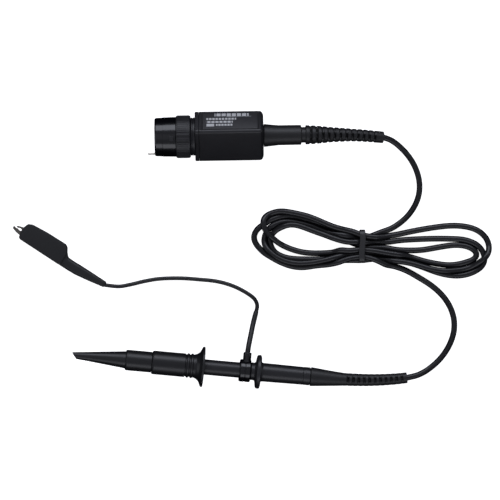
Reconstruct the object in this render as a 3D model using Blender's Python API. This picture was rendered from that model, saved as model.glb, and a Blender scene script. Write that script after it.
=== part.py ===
"""Oscilloscope probe: compensation box with its locking connector, a tied hank of cable, the probe head with
a sprung hook tip, and a ground lead with an alligator clip. Lengths are written in millimetres and become
metres in the meshes. X runs along the object, Y across it and Z up, the origin on the ground under it."""

import math

import bmesh
import bpy
from mathutils import Matrix, Vector

MM = 0.001
GAP = 0.3

# Connector and compensation box: X from the collar's front face along the connector's axis.
CONNECTOR_AT = (-32.75, 68.05, 14.85)
CONNECTOR_YAW = math.radians(0.9)
BOX_ROLL = math.radians(44.0)
BOX_DEPTH = 25.4
BOX_THICKNESS = 18.2
BOX_START, BOX_END = 23.8, 65.1
BOX_WALL = 1.6
BOX_CORNER = 1.6
FRONT_PLATE = 2.5
COLLAR_LENGTH = 12.5
COLLAR_RADIUS = 11.9
GRIP_RADIUS = 12.8
GRIP_LENGTH = 8.5
NECK_RADIUS = 11.4
BAYONET_RADIUS, BAYONET_BORE = 7.25, 5.0
READOUT_OFFSET = 9.9
TRIMMER_AT = (38.0, 5.0)

# Probe head: X from the hook tip's nose along the head's axis.
NOSE_AT = (-80.75, -62.42, 16.6)
HEAD_YAW = math.radians(-5.22)
HEAD_PITCH = math.radians(3.31)
NOSE_END = 30.4
COLLAR_END = 46.6
SLEEVE_END = 77.7
RIM_RADIUS = 12.1
BARREL_START, BARREL_END, BARREL_RADIUS = 50.0, 101.0, 2.45
SHAFT_START, SHAFT_STEP, SHAFT_END = 73.3, 105.95, 124.0
RING_START, RING_END, RING_RADIUS = 99.2, 105.9, 6.75
GUARD_RADIUS = 10.15
HANDLE_START, HANDLE_END = 106.2, 137.4
MARKER_END = 141.6
BOOT_SPIGOT = 11.0

# Alligator clip: X from the jaw tip, Y towards the finger lever, Z up; the clip lies on its flat side.
CLIP_AT = (-117.95, 14.95, 4.5)
CLIP_YAW = math.radians(-33.4)
CLIP_HALF = 4.5
CHEEK = 0.8
PIVOT_AT = (19.0, 0.6)
CLIP_END = 65.4

CABLE_RADIUS = 1.8
WIRE_RADIUS = 1.2
HANK_LOW, HANK_HIGH = 1.3, 9.0
TIE_AT, TIE_WIDTH, TIE_THICK = 91.65, 3.6, 1.1

# Routes of what bends, chosen by hand, each from where it leaves a piece to where it ends.
BOX_BOOT_ROUTE = [
    (-5, 0, 0), (0, 0, 0), (25, 0, -0.3), (45, -0.2, -2.9), (58, -0.75, -6.1), (71.3, -1.95, -10.0),
]
HEAD_BOOT_ROUTE = [
    (49.75, -74.34, 9.05), (60.75, -75.4, 8.4), (80.25, -77.05, 7.2), (96.85, -77.55, 5.8),
    (110.05, -77.05, 4.5), (118.45, -76.25, 3.7),
]
UPPER_ROUTE = [
    (104.15, 68.2, 4.7), (109.45, 66.3, 3.4), (114.25, 62.75, 2.3), (118.75, 58.15, 1.85),
    (123.05, 51.55, 1.85), (125.85, 43.55, 1.85), (126.15, 35.55, 1.85), (123.85, 28.05, 1.85),
    (118.65, 20.45, 2.0), (112.05, 15.15, 3.0),
]
LOWER_ROUTE = [
    (112.25, -9.6, 3.0), (117.85, -11.55, 2.2), (124.65, -15.35, 1.85), (134.25, -21.45, 1.85),
    (141.85, -29.05, 1.85), (146.25, -37.85, 1.85), (147.15, -46.85, 1.85), (144.75, -55.45, 1.85),
    (139.65, -63.75, 1.85), (132.85, -70.25, 2.0), (125.85, -74.35, 2.7), (118.85, -76.15, 3.6),
]
LEAD_SLEEVE_ROUTE = [
    (22.85, -60.5, 10.6), (23.4, -57.05, 9.9), (24.65, -50.85, 7.0), (26.05, -44.05, 3.8),
    (27.95, -36.45, 1.9),
]
WIRE_ROUTE = [
    (28.05, -36.15, 1.8), (28.55, -32.65, 1.3), (26.85, -28.85, 1.22), (21.85, -25.05, 1.22),
    (13.85, -21.05, 1.22), (4.25, -18.35, 1.22), (-6.95, -17.15, 1.22), (-17.75, -16.45, 1.22),
    (-29.75, -16.75, 1.22), (-38.75, -18.15, 1.4), (-47.25, -20.15, 2.4), (-54.35, -21.35, 3.7),
    (-61.15, -20.75, 4.5),
]
HANK_OUTLINE = [
    (25.05, 7.05), (27.75, 13.55), (31.75, 21.15), (36.75, 25.15), (46.25, 25.75), (58.25, 22.35),
    (74.25, 16.55), (88.25, 11.75), (95.25, 11.15), (106.25, 10.95), (122.25, 14.15), (137.25, 17.55),
    (152.25, 18.15), (163.75, 14.95), (170.65, 7.15), (170.85, -0.45), (166.05, -8.05), (157.75, -15.25),
    (147.25, -16.65), (133.25, -12.85), (119.25, -8.45), (106.25, -6.35), (94.25, -5.85), (88.25, -6.25),
    (73.25, -9.05), (58.25, -12.25), (45.25, -10.65), (33.25, -4.05), (26.85, 1.15),
]


def clear_scene():
    for old in list(bpy.data.objects):
        bpy.data.objects.remove(old, do_unlink=True)


def material(name, colour, roughness, metallic=0.0):
    made = bpy.data.materials.new(name)
    made.use_nodes = True
    shader = made.node_tree.nodes["Principled BSDF"]
    shader.inputs["Base Color"].default_value = (*colour, 1)
    shader.inputs["Roughness"].default_value = roughness
    shader.inputs["Metallic"].default_value = metallic
    made.diffuse_color = (*colour, 1)
    return made


def empty(name, place=(0, 0, 0), turn=(0, 0, 0), parent=None):
    """A frame for a group of pieces, placed in its parent's frame."""
    frame = bpy.data.objects.new(name, None)
    frame.empty_display_size = 0.01
    frame.location = Vector(place) * MM
    frame.rotation_euler = turn
    frame.parent = parent
    bpy.context.scene.collection.objects.link(frame)
    return frame


def piece(name, shape, frame, finish):
    """An object from a bmesh in millimetres, in its frame."""
    shape.transform(Matrix.Scale(MM, 4))
    mesh = bpy.data.meshes.new(name)
    shape.to_mesh(mesh)
    shape.free()
    made = bpy.data.objects.new(name, mesh)
    bpy.context.scene.collection.objects.link(made)
    made.parent = frame
    mesh.materials.append(finish)
    mesh.shade_smooth()
    mesh.set_sharp_from_angle(angle=math.radians(35))
    return made


def combine(target, operation, name, shape, frame):
    """Cuts a shape from the target, or joins it on, with an exact Boolean. The shape isn't rendered."""
    helper = piece(name, shape, frame, target.data.materials[0])
    helper.hide_render = True
    helper.display_type = "WIRE"
    step = target.modifiers.new(name, "BOOLEAN")
    step.operation = operation
    step.solver = "EXACT"
    step.object = helper


def turned(profile, segments=24, closed=False):
    """The solid that a profile of (distance along X, radius) sweeps round the X axis."""
    shape = bmesh.new()
    corners = [shape.verts.new((along, 0, radius)) for along, radius in profile]
    edges = [shape.edges.new(pair) for pair in zip(corners, corners[1:])]
    if closed:
        edges.append(shape.edges.new((corners[-1], corners[0])))
    bmesh.ops.spin(
        shape, geom=corners + edges, axis=(1, 0, 0), cent=(0, 0, 0),
        angle=2 * math.pi, steps=segments, use_merge=True,
    )
    bmesh.ops.remove_doubles(shape, verts=shape.verts, dist=1e-5)
    bmesh.ops.recalc_face_normals(shape, faces=shape.faces)
    return shape


def tube(start, end, outer, inner, segments=24):
    return turned([(start, inner), (start, outer), (end, outer), (end, inner)], segments, closed=True)


def rod(start, end, radius, segments=16):
    return turned([(start, 0), (start, radius), (end, radius), (end, 0)], segments)


def aimed(shape, axis):
    """Turns a shape made along X so that it runs along Y or Z instead."""
    turn = {"Y": Matrix.Rotation(math.pi / 2, 3, "Z"), "Z": Matrix.Rotation(-math.pi / 2, 3, "Y")}[axis]
    bmesh.ops.rotate(shape, verts=shape.verts, cent=(0, 0, 0), matrix=turn)
    return shape


def shifted(shape, by):
    bmesh.ops.translate(shape, vec=by, verts=shape.verts)
    return shape


def prism(outline, low, high, axis="Z"):
    """An outline in the two other axes, in XYZ order, drawn out along its axis."""
    place = {"Z": lambda a, b, c: (a, b, c), "X": lambda a, b, c: (c, a, b)}[axis]
    shape = bmesh.new()
    base = shape.faces.new([shape.verts.new(place(a, b, low)) for a, b in outline])
    grown = bmesh.ops.extrude_face_region(shape, geom=[base])
    top = [v for v in grown["geom"] if isinstance(v, bmesh.types.BMVert)]
    bmesh.ops.translate(shape, vec=place(0, 0, high - low), verts=top)
    bmesh.ops.recalc_face_normals(shape, faces=shape.faces)
    return shape


def block(low, high, rounding=0.0, steps=1):
    """A box between two corners, its edges rounded."""
    size = [b - a for a, b in zip(low, high)]
    middle = [(a + b) / 2 for a, b in zip(low, high)]
    shape = bmesh.new()
    bmesh.ops.create_cube(shape, size=1, matrix=Matrix.Translation(middle) @ Matrix.Diagonal((*size, 1)))
    if rounding:
        bmesh.ops.bevel(
            shape, geom=shape.edges[:], offset=rounding, segments=steps, profile=0.5, affect="EDGES",
        )
    return shape


def lofted(rings):
    """A closed solid through rings of as many corners each, its two ends flat."""
    shape = bmesh.new()
    rows = [[shape.verts.new(point) for point in ring] for ring in rings]
    for one, two in zip(rows, rows[1:]):
        for k in range(len(one)):
            after = (k + 1) % len(one)
            shape.faces.new((one[k], one[after], two[after], two[k]))
    shape.faces.new(rows[0])
    shape.faces.new(rows[-1])
    bmesh.ops.recalc_face_normals(shape, faces=shape.faces)
    return shape


def rounded_case(stations, half_y, half_z, corner, steps=4):
    """A case along X: stations are (X, how far its sides are drawn in there), its long edges rounded."""
    rings = []
    for along, inset in stations:
        ring = []
        for quarter, (side_y, side_z) in enumerate(((1, 1), (-1, 1), (-1, -1), (1, -1))):
            for step in range(steps + 1):
                angle = math.pi / 2 * (quarter + step / steps)
                ring.append((
                    along,
                    side_y * (half_y - inset - corner) + corner * math.cos(angle),
                    side_z * (half_z - inset - corner) + corner * math.sin(angle),
                ))
        rings.append(ring)
    return lofted(rings)


def smooth_curve(route, fineness=12):
    """Close points on the smooth curve (Catmull-Rom) through a route, with the distance to each."""
    knots = [Vector(point) for point in route]
    padded = [2 * knots[0] - knots[1], *knots, 2 * knots[-1] - knots[-2]]
    points = []
    for a, b, c, d in zip(padded, padded[1:], padded[2:], padded[3:]):
        for step in range(fineness):
            t = step / fineness
            bend, twist = 2 * a - 5 * b + 4 * c - d, 3 * b - a - 3 * c + d
            points.append(0.5 * (2 * b + (c - a) * t + bend * t**2 + twist * t**3))
    points.append(knots[-1])
    distances = [0.0]
    for a, b in zip(points, points[1:]):
        distances.append(distances[-1] + (b - a).length)
    return points, distances


def point_at(curve, wanted):
    """The point and direction on a curve at a distance from its start."""
    points, distances = curve
    at = 0
    while at < len(points) - 2 and distances[at + 1] < wanted:
        at += 1
    share = (wanted - distances[at]) / (distances[at + 1] - distances[at])
    return points[at].lerp(points[at + 1], share), (points[at + 1] - points[at]).normalized()


def cord(name, route, radius, finish):
    """A plain tube along a route: a poly curve with a round bevel and filled caps."""
    curve = smooth_curve(route)
    count = round(curve[1][-1] / (5 * radius))
    data = bpy.data.curves.new(name, "CURVE")
    data.dimensions = "3D"
    data.bevel_depth = radius * MM
    data.bevel_resolution = 2
    data.use_fill_caps = True
    spline = data.splines.new("POLY")
    spline.points.add(count)
    for number, target in enumerate(spline.points):
        point, _ = point_at(curve, curve[1][-1] * number / count)
        target.co = (*(point * MM), 1)
    data.materials.append(finish)
    made = bpy.data.objects.new(name, data)
    bpy.context.scene.collection.objects.link(made)
    return made


def swept(route, stations, sides=16):
    """A round rod along a route: stations are (distance along it, radius)."""
    curve = smooth_curve(route)
    rings = []
    for distance, radius in stations:
        centre, ahead = point_at(curve, distance)
        across = ahead.cross(Vector((0, 0, 1))).normalized()
        upward = across.cross(ahead)
        turns = [2 * math.pi * k / sides for k in range(sides)]
        rings.append([centre + radius * (math.cos(a) * across + math.sin(a) * upward) for a in turns])
    return lofted(rings)


def ribbed_stations(start, ribs, pitch, first_radius, last_radius, depth):
    """Stations of a strain relief's rings: each rib stands proud of the groove after it."""
    stations = []
    for rib in range(ribs):
        radius = first_radius + (last_radius - first_radius) * rib / (ribs - 1)
        crest = start + rib * pitch
        stations += [
            (crest, radius), (crest + 0.6 * pitch, radius),
            (crest + 0.62 * pitch, radius - depth), (crest + 0.98 * pitch, radius - depth),
        ]
    return stations[:-2]


def connector(axis):
    """The bayonet plug on the box's front: shell, insulator, contact, locking ring, sleeve, readout pin."""
    back = COLLAR_LENGTH + GAP + GRIP_LENGTH
    contact = turned([
        (1.0, 3.45), (1.0, 4.05), (19.6, 4.05), (19.6, 6.7), (BOX_START - GAP, 6.7), (BOX_START - GAP, 3.45),
    ], 20, closed=True)
    piece("bnc_contact_shell", contact, axis, nickel)
    piece("bnc_insulator", tube(4.0, 21.0, 3.1, 1.0, 16), axis, insulator_white)
    contact_pin = turned([(2.6, 0), (3.4, 0.68), (20.0, 0.68), (20.0, 0.9), (30.0, 0.9), (30.0, 0)], 10)
    piece("bnc_center_pin", contact_pin, axis, gold)
    piece("bnc_gasket", tube(12.4, 13.7, 4.75, 4.3, 16), axis, rubber)
    piece("wave_washer", tube(19.25, 19.8, 9.5, 7.1, 20), axis, spring_steel)

    sleeve = turned([
        (0, 7.8), (0, COLLAR_RADIUS - 1.1), (0.7, COLLAR_RADIUS - 0.5), (COLLAR_LENGTH, COLLAR_RADIUS),
        (COLLAR_LENGTH, 7.8),
    ], 36, closed=True)
    sleeve = piece("collar_sleeve", sleeve, axis, gloss_plastic)
    readout = empty("readout_axis", (0, -READOUT_OFFSET, -0.9), parent=axis)
    combine(sleeve, "DIFFERENCE", "readout_hole", rod(-1, COLLAR_LENGTH + 1, 1.0, 12), readout)
    pad = block((8.9, -3.0, 10.9), (11.3, 0.0, COLLAR_RADIUS + 0.55), 0.2)
    combine(sleeve, "UNION", "lock_mark", pad, axis)

    plunger = turned([(-4.2, 0), (-4.0, 0.45), (-3.6, 0.6), (5.5, 0.6), (5.5, 0)], 12)
    piece("readout_pin", plunger, readout, gold)
    piece("readout_spring", tube(5.8, 11.6, 0.7, 0.35, 10), readout, spring_steel)

    bayonet = piece("bayonet_ring", tube(0.8, 19.0, BAYONET_RADIUS, BAYONET_BORE, 24), axis, nickel)
    for side in (1, -1):
        slot = block((-1, side * 6.1 - 1.6, -1.15), (7.2, side * 6.1 + 1.6, 1.15))
        combine(bayonet, "DIFFERENCE", f"bayonet_slot_{'left' if side > 0 else 'right'}", slot, axis)

    start = COLLAR_LENGTH + GAP
    rib_count = 40
    outline = []
    for corner in range(2 * rib_count):
        radius = GRIP_RADIUS + (0.12 if corner % 2 else -0.12)
        angle = math.pi * corner / rib_count
        outline.append((radius * math.cos(angle), radius * math.sin(angle)))
    grip = piece("collar_grip_ring", prism(outline, start, back, "X"), axis, black_plastic)
    combine(grip, "DIFFERENCE", "grip_bore", rod(start - 1, back - 1.2, 10.0, 28), axis)
    combine(grip, "DIFFERENCE", "grip_hole", rod(start - 1, back + 1, 7.1, 24), axis)
    tab = block((start + 0.1, -3.0, 11.8), (back - 0.2, 1.4, GRIP_RADIUS + 0.7), 0.3)
    combine(grip, "UNION", "grip_tab", tab, axis)
    neck = tube(back + GAP, BOX_START, NECK_RADIUS, 7.0, 28)
    piece("connector_neck", neck, axis, black_plastic)


def compensation_box(axis):
    """The box: front plate, hollow case, printed label, board, trimmer and its screw."""
    rolled = empty("box_roll", turn=(-BOX_ROLL, 0, 0), parent=axis)
    half_y, half_z = BOX_THICKNESS / 2, BOX_DEPTH / 2
    plate_start = BOX_START + GAP
    plate_end = BOX_START + FRONT_PLATE
    stations = [(plate_start, 0.5), (plate_start + 0.5, 0.0), (plate_end, 0.0)]
    plate = rounded_case(stations, half_y, half_z, BOX_CORNER)
    plate = piece("box_front_plate", plate, rolled, black_plastic)
    combine(plate, "DIFFERENCE", "plate_hole", rod(BOX_START - 1, plate_end + 1, 1.3, 12), rolled)

    case_start = plate_end + GAP
    case = rounded_case([
        (case_start, 0), (BOX_END - 2.6, 0), (BOX_END - 1.3, 0.35), (BOX_END - 0.4, 1.2), (BOX_END, 2.2),
    ], half_y, half_z, BOX_CORNER)
    case = piece("box_shell", case, rolled, black_plastic)
    hollow = block(
        (case_start - 1, -half_y + BOX_WALL, -half_z + BOX_WALL),
        (BOX_END - BOX_WALL, half_y - BOX_WALL, half_z - BOX_WALL),
    )
    combine(case, "DIFFERENCE", "case_hollow", hollow, rolled)
    combine(case, "DIFFERENCE", "boot_hole", rod(BOX_END - 5, BOX_END + 1, 4.4, 20), rolled)
    pocket = block((28.6, -7.1, half_z - 0.5), (62.0, 7.1, half_z + 1))
    combine(case, "DIFFERENCE", "label_pocket", pocket, rolled)
    label = block((28.9, -6.8, half_z - 0.3), (61.7, 6.8, half_z - 0.02))
    piece("rating_label", label, rolled, label_film)

    trimmer_x, trimmer_z = TRIMMER_AT
    screw_hole = shifted(aimed(rod(half_y - 3, half_y + 1, 1.9, 16), "Y"), (trimmer_x, 0, trimmer_z))
    combine(case, "DIFFERENCE", "trimmer_hole", screw_hole, rolled)
    board = block((31.0, -0.8, -10.0), (59.0, 0.8, 10.0))
    piece("comp_board", board, rolled, board_green)
    trimmer = empty("trimmer_axis", (trimmer_x, 0, trimmer_z), parent=rolled)
    piece("trimmer_body", aimed(rod(1.1, 4.3, 2.9, 16), "Y"), trimmer, ceramic)
    screw = piece("trimmer_screw", aimed(rod(4.6, 7.5, 1.5, 16), "Y"), trimmer, gold)
    combine(screw, "DIFFERENCE", "screw_slot", block((-2, 6.8, -0.3), (2, 8, 0.3)), trimmer)

    boot_axis = empty("box_boot_axis", (BOX_END + GAP, 0, 0), parent=axis)
    neck_end = 5.0
    stations = [(0, 4.0), (neck_end, 4.0), (neck_end + 0.01, 6.85), (13.5, 6.0), (27.2, 5.95), (27.3, 4.7),
                (29.9, 4.7)]
    stations += ribbed_stations(30.0, 13, 3.54, 5.8, 3.5, 0.55)
    stations[-1] = (smooth_curve(BOX_BOOT_ROUTE)[1][-1] - GAP, 3.5)
    piece("box_boot", swept(BOX_BOOT_ROUTE, stations), boot_axis, soft_pvc)


def hook_tip(axis):
    """The push-on hook: a carrier with the hook wire, and the sprung sleeve that slides back to bare it."""
    nose = turned([
        (-1.4, 1.1), (-1.4, 1.55), (-1.0, 1.85), (NOSE_END, 5.2), (NOSE_END, 3.7), (14.0, 2.3), (4.0, 1.3),
    ], 24, closed=True)
    nose = piece("nose_cone", nose, axis, hook_plastic)
    slant = block((-3, -4, -6), (0, 4, 6))
    turn = Matrix.Rotation(math.radians(38), 3, "Z")
    bmesh.ops.rotate(slant, verts=slant.verts, cent=(0, 0, 0), matrix=turn)
    combine(nose, "DIFFERENCE", "nose_slant", shifted(slant, (-0.4, 0, 0)), axis)
    piece("mid_collar", turned([
        (NOSE_END + GAP, 4.8), (NOSE_END + GAP, 5.8), (NOSE_END + 0.7, 6.2), (COLLAR_END - 0.4, 6.2),
        (COLLAR_END, 5.8), (COLLAR_END, 4.8),
    ], 24, closed=True), axis, hook_plastic)
    piece("hook_sleeve", turned([
        (COLLAR_END + GAP, 4.8), (COLLAR_END + GAP, 6.7), (COLLAR_END + 0.9, 7.1), (66.3, 7.1), (66.7, 6.6),
        (67.2, 6.6), (67.6, 7.3), (68.6, 7.3), (69.0, 6.7), (69.6, 6.7), (70.0, 7.4), (70.9, 7.4),
        (71.3, 6.8), (73.2, 7.4), (75.0, 8.8), (76.1, 11.2), (76.4, RIM_RADIUS), (SLEEVE_END, RIM_RADIUS),
        (SLEEVE_END, 11.2), (76.6, 8.6), (75.4, 6.4), (74.6, 5.0), (64.0, 5.0), (64.0, 3.9), (52.6, 3.9),
        (52.6, 4.8),
    ], 28, closed=True), axis, hook_plastic)
    piece("hook_spring", tube(30.9, 47.0, 4.4, 3.35, 16), axis, spring_steel)
    piece("hook_carrier", turned([
        (33.0, 0.8), (33.0, 3.1), (47.3, 3.1), (47.3, 4.4), (49.0, 4.4), (49.0, 3.55), (72.4, 3.55),
        (72.4, 2.75), (48.2, 2.75), (48.2, 0.8),
    ], 20, closed=True), axis, hook_plastic)
    bend = [(2.75 - 0.45 * math.sin(a), 0, 0.45 * math.cos(a)) for a in (math.pi * k / 6 for k in range(7))]
    wire = [(40.0, 0, 0.45), (21.0, 0, 0.45), (4.2, 0, 0.45), *bend, (4.2, 0, -0.45)]
    piece("hook_wire", bent_wire(wire, 0.3), axis, nickel)


def bent_wire(points, radius, sides=8):
    """A thin wire through points that lie in one upright plane."""
    knots = [Vector(point) for point in points]
    rings = []
    for number, knot in enumerate(knots):
        ahead = (knots[min(number + 1, len(knots) - 1)] - knots[max(number - 1, 0)]).normalized()
        across = Vector((0, 1, 0))
        upward = ahead.cross(across)
        turns = [2 * math.pi * k / sides for k in range(sides)]
        rings.append([knot + radius * (math.cos(a) * across + math.sin(a) * upward) for a in turns])
    return lofted(rings)


def probe_head(axis):
    """The probe itself: needle, barrel, attenuator, shaft, handle with its finger guard, and the boot."""
    piece("probe_tip", turned([(41.8, 0), (43.6, 0.45), (60.0, 0.45), (60.0, 0)], 10), axis, nickel)
    piece("tip_insulator", tube(48.6, 61.0, 1.75, 0.75, 12), axis, insulator_white)
    piece("ground_barrel", tube(BARREL_START, BARREL_END, BARREL_RADIUS, 2.05, 16), axis, nickel)
    piece("attenuator_rod", rod(62.0, 94.0, 1.5, 12), axis, ceramic)
    shaft = turned([
        (SHAFT_START, 2.75), (SHAFT_START, 4.65), (SHAFT_STEP, 4.65), (SHAFT_STEP, 4.2), (SHAFT_END, 4.2),
        (SHAFT_END, 2.75),
    ], 24, closed=True)
    piece("probe_shaft", shaft, axis, black_plastic)
    piece("handle_shell", turned([
        (HANDLE_START, 4.5), (HANDLE_START, 5.3), (108.2, 5.3), (108.7, 6.0), (109.3, 9.5), (109.8, 10.0),
        (110.4, GUARD_RADIUS), (111.3, GUARD_RADIUS), (111.8, 9.8), (112.0, 9.0), (112.1, 6.0), (113.2, 5.6),
        (120.0, 5.55), (HANDLE_END, 5.35), (HANDLE_END, 4.5),
    ], 32, closed=True), axis, black_plastic)
    piece("cable_ferrule", tube(113.0, 128.5, 2.4, 1.9, 14), axis, nickel)
    marker = turned([
        (HANDLE_END + GAP, 3.5), (HANDLE_END + GAP, 5.3), (138.2, 5.45), (141.1, 5.45), (MARKER_END, 5.3),
        (MARKER_END, 3.5),
    ], 24, closed=True)
    piece("head_marker_ring", marker, axis, black_plastic)
    stations = [(0, 3.1), (BOOT_SPIGOT, 3.1), (BOOT_SPIGOT + 0.05, 5.7), (14.0, 5.45), (20.0, 4.85), (30.6, 3.9)]
    stations += ribbed_stations(30.7, 12, 3.27, 3.9, 3.25, 0.4)
    stations[-1] = (smooth_curve(HEAD_BOOT_ROUTE)[1][-1] - GAP, 3.25)
    piece("head_boot", swept(HEAD_BOOT_ROUTE, stations), None, soft_pvc)


def ground_lead(axis):
    """The ring that turns on the barrel, the sleeve on its boss and the thin wire."""
    ring = turned([
        (RING_START, 4.95), (RING_START, 6.0), (99.9, RING_RADIUS), (105.2, RING_RADIUS), (RING_END, 6.0),
        (RING_END, 4.95),
    ], 28, closed=True)
    ring = piece("ground_ring", ring, axis, gloss_plastic)
    boss = shifted(aimed(rod(5.4, 11.0, 2.45, 16), "Y"), (103.2, 0, 0))
    combine(ring, "UNION", "ring_boss", boss, axis)
    length = smooth_curve(LEAD_SLEEVE_ROUTE)[1][-1]
    steps = [(length * k / 9, 1.55) for k in range(10)]
    piece("lead_sleeve", swept(LEAD_SLEEVE_ROUTE, steps, 12), None, soft_pvc)
    cord("lead_wire", WIRE_ROUTE, WIRE_RADIUS, cable_pvc)


def clip(flat):
    """The alligator clip: two jaws on a pivot with a torsion spring, a tail boot and a hood on the lever."""
    pivot_x, pivot_y = PIVOT_AT
    pivot = empty("clip_pivot_axis", (pivot_x, pivot_y, 0), parent=flat)

    lower = prism([
        (0.5, -1.2), (0.2, 0.0), (0.7, 0.4), (1.5, 0.0), (2.9, 0.25), (3.6, 0.0), (4.5, -0.15),
        (5.3, 0.0), (5.9, 0.25), (7.2, 0.1), (10.0, -0.9), (16.2, -1.2), (16.2, 2.0), (21.8, 2.0), (21.8, -1.4), (38.0, -1.4), (38.0, -2.6), (8.0, -2.6),
        (3.5, -2.1),
    ], -2.3, 2.3)
    lower = piece("clip_lower_jaw", lower, flat, nickel)
    combine(lower, "DIFFERENCE", "jaw_channel", block((-1, -1.9, -1.5), (33.0, 5.0, 1.5)), flat)

    upper = [
        (2.2, 0.75), (1.8, 1.35), (2.4, 1.75), (4.9, 2.55), (8.2, 3.0), (12.0, 2.3), (16.0, 2.4), (22.0, 3.4),
        (30.5, 6.2), (31.0, 5.2), (22.5, 0.9), (20.6, -0.8), (17.4, -0.8), (12.0, 0.9), (8.0, 0.6),
        (6.0, 0.7), (5.2, 1.1), (4.5, 1.3), (3.8, 1.1), (3.1, 0.7),
    ]
    upper = [(x - pivot_x, y - pivot_y) for x, y in upper]
    upper = piece("clip_upper_jaw", prism(upper, -1.2, 1.2), pivot, nickel)
    combine(upper, "DIFFERENCE", "spring_room", block((-1.9, -3, -0.75), (1.9, 1.7, 0.75)), pivot)
    for target in (lower, upper):
        bore = aimed(rod(-4, 4, 0.85, 12), "Z")
        combine(target, "DIFFERENCE", f"bore_in_{target.name}", bore, pivot)
    piece("clip_pivot_pin", aimed(rod(-2.9, 2.9, 0.6, 12), "Z"), pivot, nickel)
    coil = aimed(tube(-0.5, 0.5, 1.45, 0.9, 14), "Z")
    piece("clip_spring", coil, pivot, spring_steel)

    inner = CLIP_HALF - CHEEK
    boot_half = inner - GAP
    tail = prism([
        (9.2, -4.3), (9.2, -2.9), (35.4, -2.9), (35.85, -1.0), (35.9, 1.0), (35.55, 4.0), (35.0, 6.0),
        (35.6, 5.8), (37.9, 2.4), (42.0, 2.4), (47.0, 2.66), (CLIP_END, 2.8), (CLIP_END, -0.9),
        (55.5, -2.7), (46.0, -4.1), (40.0, -4.3),
    ], -boot_half, boot_half)
    tail = piece("clip_tail_boot", tail, flat, soft_pvc)
    socket = block((34.0, -2.9, -2.6), (38.4, -1.1, 2.6))
    combine(tail, "DIFFERENCE", "jaw_socket", socket, flat)

    hood_outline = [
        (6.6, -3.7), (5.7, -0.4), (5.9, 3.2), (6.9, 6.0), (9.1, 7.1), (19.0, 8.0), (32.3, 8.3), (34.1, 7.3),
        (35.9, 4.5), (36.2, 3.0), (36.3, -3.5), (35.0, -4.3), (7.9, -4.4),
    ]
    hood = prism([(x - pivot_x, y - pivot_y) for x, y in hood_outline], -CLIP_HALF, CLIP_HALF)
    hood = piece("clip_hood", hood, pivot, soft_pvc)
    room = [(7.4, -8.0), (7.4, 5.0), (9.6, 6.1), (19.0, 7.0), (31.0, 7.2), (34.0, 6.6), (40.0, 5.4), (40.0, -8.0)]
    room = prism([(x - pivot_x, y - pivot_y) for x, y in room], -inner, inner)
    combine(hood, "DIFFERENCE", "hood_room", room, pivot)
    mouth = block((4.0 - pivot_x, -8.0, -2.7), (9.0 - pivot_x, 3.9 - pivot_y, 2.7))
    combine(hood, "DIFFERENCE", "hood_mouth", mouth, pivot)


def cable():
    """The main cable: two free stretches and, between them, the tied hank."""
    cord("cable_upper", UPPER_ROUTE, CABLE_RADIUS, cable_pvc)
    cord("cable_lower", LOWER_ROUTE, CABLE_RADIUS, cable_pvc)
    piece("cable_hank", prism(HANK_OUTLINE, HANK_LOW, HANK_HIGH), None, cable_pvc)
    low_y, high_y = -6.4, 11.9
    start, end = TIE_AT - TIE_WIDTH / 2, TIE_AT + TIE_WIDTH / 2
    top = HANK_HIGH + GAP + TIE_THICK
    band = block((start, low_y - TIE_THICK, 0.0), (end, high_y + TIE_THICK, top), 0.35)
    band = piece("hank_tie", band, None, tie_pvc)
    room = block((start - 1, low_y, TIE_THICK - 0.1), (end + 1, high_y, HANK_HIGH + GAP))
    combine(band, "DIFFERENCE", "tie_room", room, None)


clear_scene()
black_plastic = material("black_plastic", (0.022, 0.022, 0.024), 0.42)
gloss_plastic = material("gloss_plastic", (0.015, 0.015, 0.018), 0.18)
hook_plastic = material("hook_plastic", (0.028, 0.028, 0.03), 0.38)
soft_pvc = material("soft_pvc", (0.02, 0.02, 0.021), 0.55)
cable_pvc = material("cable_pvc", (0.02, 0.02, 0.022), 0.4)
tie_pvc = material("tie_pvc", (0.035, 0.035, 0.037), 0.35)
nickel = material("nickel", (0.66, 0.63, 0.58), 0.22, 1.0)
gold = material("gold_contact", (0.83, 0.62, 0.27), 0.22, 1.0)
spring_steel = material("spring_steel", (0.55, 0.55, 0.56), 0.3, 1.0)
insulator_white = material("insulator_white", (0.85, 0.84, 0.8), 0.5)
board_green = material("circuit_board", (0.03, 0.16, 0.07), 0.5)
ceramic = material("ceramic", (0.7, 0.62, 0.5), 0.5)
label_film = material("label_film", (0.05, 0.05, 0.055), 0.55)
rubber = material("rubber", (0.03, 0.03, 0.03), 0.7)

connector_axis = empty("connector_axis", CONNECTOR_AT, (0, 0, CONNECTOR_YAW))
connector(connector_axis)
compensation_box(connector_axis)
head_axis = empty("head_axis", NOSE_AT, (0, HEAD_PITCH, HEAD_YAW))
hook_tip(head_axis)
probe_head(head_axis)
ground_lead(head_axis)
clip(empty("clip_flat", CLIP_AT, (0, 0, CLIP_YAW)))
cable()
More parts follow.
